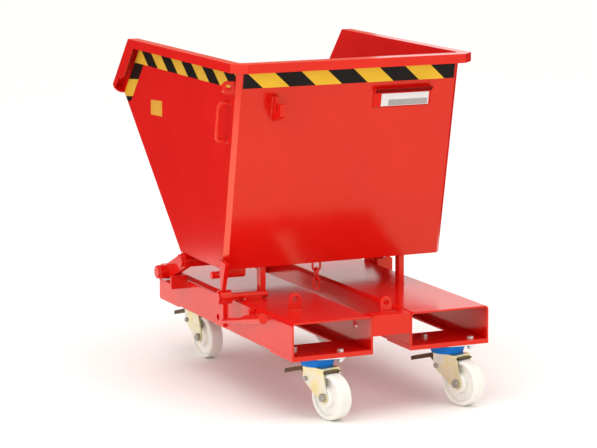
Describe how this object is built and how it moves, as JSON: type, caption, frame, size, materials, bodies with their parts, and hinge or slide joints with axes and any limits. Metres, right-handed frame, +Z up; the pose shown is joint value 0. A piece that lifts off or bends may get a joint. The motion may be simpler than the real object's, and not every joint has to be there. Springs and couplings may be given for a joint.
{
  "type": "self-tipping hopper",
  "caption": "Red sheet-steel hopper with a sloping chute, tipping forward on a low chassis with fork pockets, a rear latch lever and braked swivel castors.",
  "frame": {"origin": "on the floor under the middle of the bounding box", "axes": "X right, Y forward in the pouring direction, Z up; fork tines enter along +Y from the rear"},
  "size_m": [0.587, 0.9688, 0.736],
  "materials": {
    "red_paint": "glossy red powder coat",
    "bright_zinc": "bright zinc plate",
    "yellow_zinc": "yellow passivated zinc",
    "blue_seal": "satin blue",
    "wheel_white": "white polyamide, slight sheen",
    "pedal_brown": "brown passivated zinc",
    "plate_white": "satin, unprinted"
  },
  "bodies": {
    "chassis": {"fork_pocket_left": "red_paint", "fork_pocket_right": "red_paint", "castor_mounting_plates": "red_paint", "rear_cross_channel": "red_paint", "front_cross_channel": "red_paint", "side_plate_left": "red_paint", "side_plate_right": "red_paint", "pivot_bracket_left": "red_paint", "pivot_bracket_right": "red_paint", "pivot_pins": "red_paint", "support_posts": "red_paint", "lashing_eye": "red_paint", "rear_lug": "red_paint", "handle_guide": "red_paint", "latch_shaft": "red_paint", "latch_saddle": "red_paint", "castor_top_plates": "bright_zinc", "castor_seal_rings": "blue_seal", "castor_king_pins": "bright_zinc", "castor_bolts": "bright_zinc", "castor_nuts": "bright_zinc"},
    "hopper": {"hopper_wrap": "red_paint", "hopper_side_left": "red_paint", "hopper_side_right": "red_paint", "pivot_bar": "red_paint", "pivot_arm_left": "red_paint", "pivot_arm_right": "red_paint", "catch_pin": "red_paint", "catch_block": "red_paint", "side_handle": "red_paint", "lifting_lug": "red_paint", "rear_hook": "red_paint", "plate_holder": "red_paint", "type_plate": "plate_white", "chain_eye": "red_paint"},
    "latch": {"latch_lever": "red_paint", "latch_rod": "red_paint", "latch_grip": "red_paint"},
    "chain_upper": {"chain_link_upper": "red_paint"},
    "chain_lower": {"chain_link_lower": "red_paint"},
    "castor_rear_left_swivel": {"castor_rear_left_fork": "yellow_zinc", "castor_rear_left_axle": "bright_zinc"},
    "castor_rear_left_wheel": {"castor_rear_left_wheel": "wheel_white"},
    "castor_rear_left_pedal": {"castor_rear_left_brake_pedal": "pedal_brown"},
    "castor_rear_left_shoe": {"castor_rear_left_brake_shoe": "pedal_brown"},
    "castor_rear_right_swivel": {"castor_rear_right_fork": "yellow_zinc", "castor_rear_right_axle": "bright_zinc"},
    "castor_rear_right_wheel": {"castor_rear_right_wheel": "wheel_white"},
    "castor_rear_right_pedal": {"castor_rear_right_brake_pedal": "pedal_brown"},
    "castor_rear_right_shoe": {"castor_rear_right_brake_shoe": "pedal_brown"},
    "castor_front_left_swivel": {"castor_front_left_fork": "yellow_zinc", "castor_front_left_axle": "bright_zinc"},
    "castor_front_left_wheel": {"castor_front_left_wheel": "wheel_white"},
    "castor_front_left_pedal": {"castor_front_left_brake_pedal": "pedal_brown"},
    "castor_front_left_shoe": {"castor_front_left_brake_shoe": "pedal_brown"},
    "castor_front_right_swivel": {"castor_front_right_fork": "yellow_zinc", "castor_front_right_axle": "bright_zinc"},
    "castor_front_right_wheel": {"castor_front_right_wheel": "wheel_white"},
    "castor_front_right_pedal": {"castor_front_right_brake_pedal": "pedal_brown"},
    "castor_front_right_shoe": {"castor_front_right_brake_shoe": "pedal_brown"}
  },
  "joints": [
    {"name": "hopper_tip", "type": "hinge", "parent": "chassis", "child": "hopper", "pos_m": [0, 0.18962, 0.221], "axis": [-1, 0, 0], "range_deg": [0, 75]},
    {"name": "latch_release", "type": "hinge", "parent": "chassis", "child": "latch", "pos_m": [-0.269, -0.14938, 0.221], "axis": [1, 0, 0], "range_deg": [-23, 0]},
    {"name": "chain_swing_upper", "type": "hinge", "parent": "hopper", "child": "chain_upper", "pos_m": [-0.037, -0.12638, 0.2575], "axis": [1, 0, 0], "range_deg": [-40, 40]},
    {"name": "chain_swing_lower", "type": "hinge", "parent": "chain_upper", "child": "chain_lower", "pos_m": [-0.037, -0.12638, 0.2363], "axis": [0, 1, 0], "range_deg": [-40, 40]},
    {"name": "castor_rear_left_swivel", "type": "hinge", "parent": "chassis", "child": "castor_rear_left_swivel", "pos_m": [-0.1535, -0.38638, 0.118], "axis": [0, 0, 1], "continuous": true},
    {"name": "castor_rear_left_roll", "type": "hinge", "parent": "castor_rear_left_swivel", "child": "castor_rear_left_wheel", "pos_m": [-0.14148, -0.43285, 0.05], "axis": [0.9681, 0.2504, 0], "continuous": true},
    {"name": "castor_rear_left_pedal", "type": "hinge", "parent": "castor_rear_left_swivel", "child": "castor_rear_left_pedal", "pos_m": [-0.156, -0.3767, 0.081], "axis": [-0.9681, -0.2504, 0], "range_deg": [0, 12]},
    {"name": "castor_rear_left_shoe", "type": "hinge", "parent": "castor_rear_left_swivel", "child": "castor_rear_left_shoe", "pos_m": [-0.156, -0.3767, 0.081], "axis": [-0.9681, -0.2504, 0], "range_deg": [-1.2, 0]},
    {"name": "castor_rear_right_swivel", "type": "hinge", "parent": "chassis", "child": "castor_rear_right_swivel", "pos_m": [0.1535, -0.38638, 0.118], "axis": [0, 0, 1], "continuous": true},
    {"name": "castor_rear_right_roll", "type": "hinge", "parent": "castor_rear_right_swivel", "child": "castor_rear_right_wheel", "pos_m": [0.16992, -0.43148, 0.05], "axis": [0.9397, 0.342, 0], "continuous": true},
    {"name": "castor_rear_right_pedal", "type": "hinge", "parent": "castor_rear_right_swivel", "child": "castor_rear_right_pedal", "pos_m": [0.15008, -0.37698, 0.081], "axis": [-0.9397, -0.342, 0], "range_deg": [0, 12]},
    {"name": "castor_rear_right_shoe", "type": "hinge", "parent": "castor_rear_right_swivel", "child": "castor_rear_right_shoe", "pos_m": [0.15008, -0.37698, 0.081], "axis": [-0.9397, -0.342, 0], "range_deg": [-1.2, 0]},
    {"name": "castor_front_left_swivel", "type": "hinge", "parent": "chassis", "child": "castor_front_left_swivel", "pos_m": [-0.1535, 0.28962, 0.118], "axis": [0, 0, 1], "continuous": true},
    {"name": "castor_front_left_roll", "type": "hinge", "parent": "castor_front_left_swivel", "child": "castor_front_left_wheel", "pos_m": [-0.14848, 0.24188, 0.05], "axis": [0.9945, 0.1045, 0], "continuous": true},
    {"name": "castor_front_left_pedal", "type": "hinge", "parent": "castor_front_left_swivel", "child": "castor_front_left_pedal", "pos_m": [-0.15454, 0.29957, 0.081], "axis": [-0.9945, -0.1045, 0], "range_deg": [0, 12]},
    {"name": "castor_front_left_shoe", "type": "hinge", "parent": "castor_front_left_swivel", "child": "castor_front_left_shoe", "pos_m": [-0.15454, 0.29957, 0.081], "axis": [-0.9945, -0.1045, 0], "range_deg": [-1.2, 0]},
    {"name": "castor_front_right_swivel", "type": "hinge", "parent": "chassis", "child": "castor_front_right_swivel", "pos_m": [0.1535, 0.28962, 0.118], "axis": [0, 0, 1], "continuous": true},
    {"name": "castor_front_right_roll", "type": "hinge", "parent": "castor_front_right_swivel", "child": "castor_front_right_wheel", "pos_m": [0.16348, 0.24267, 0.05], "axis": [0.9781, 0.2079, 0], "continuous": true},
    {"name": "castor_front_right_pedal", "type": "hinge", "parent": "castor_front_right_swivel", "child": "castor_front_right_pedal", "pos_m": [0.15142, 0.2994, 0.081], "axis": [-0.9781, -0.2079, 0], "range_deg": [0, 12]},
    {"name": "castor_front_right_shoe", "type": "hinge", "parent": "castor_front_right_swivel", "child": "castor_front_right_shoe", "pos_m": [0.15142, 0.2994, 0.081], "axis": [-0.9781, -0.2079, 0], "range_deg": [-1.2, 0]}
  ],
  "couplings": [
    {"joint": "castor_rear_left_shoe", "follows": "castor_rear_left_pedal", "ratio": -0.1},
    {"joint": "castor_rear_right_shoe", "follows": "castor_rear_right_pedal", "ratio": -0.1},
    {"joint": "castor_front_left_shoe", "follows": "castor_front_left_pedal", "ratio": -0.1},
    {"joint": "castor_front_right_shoe", "follows": "castor_front_right_pedal", "ratio": -0.1}
  ]
}
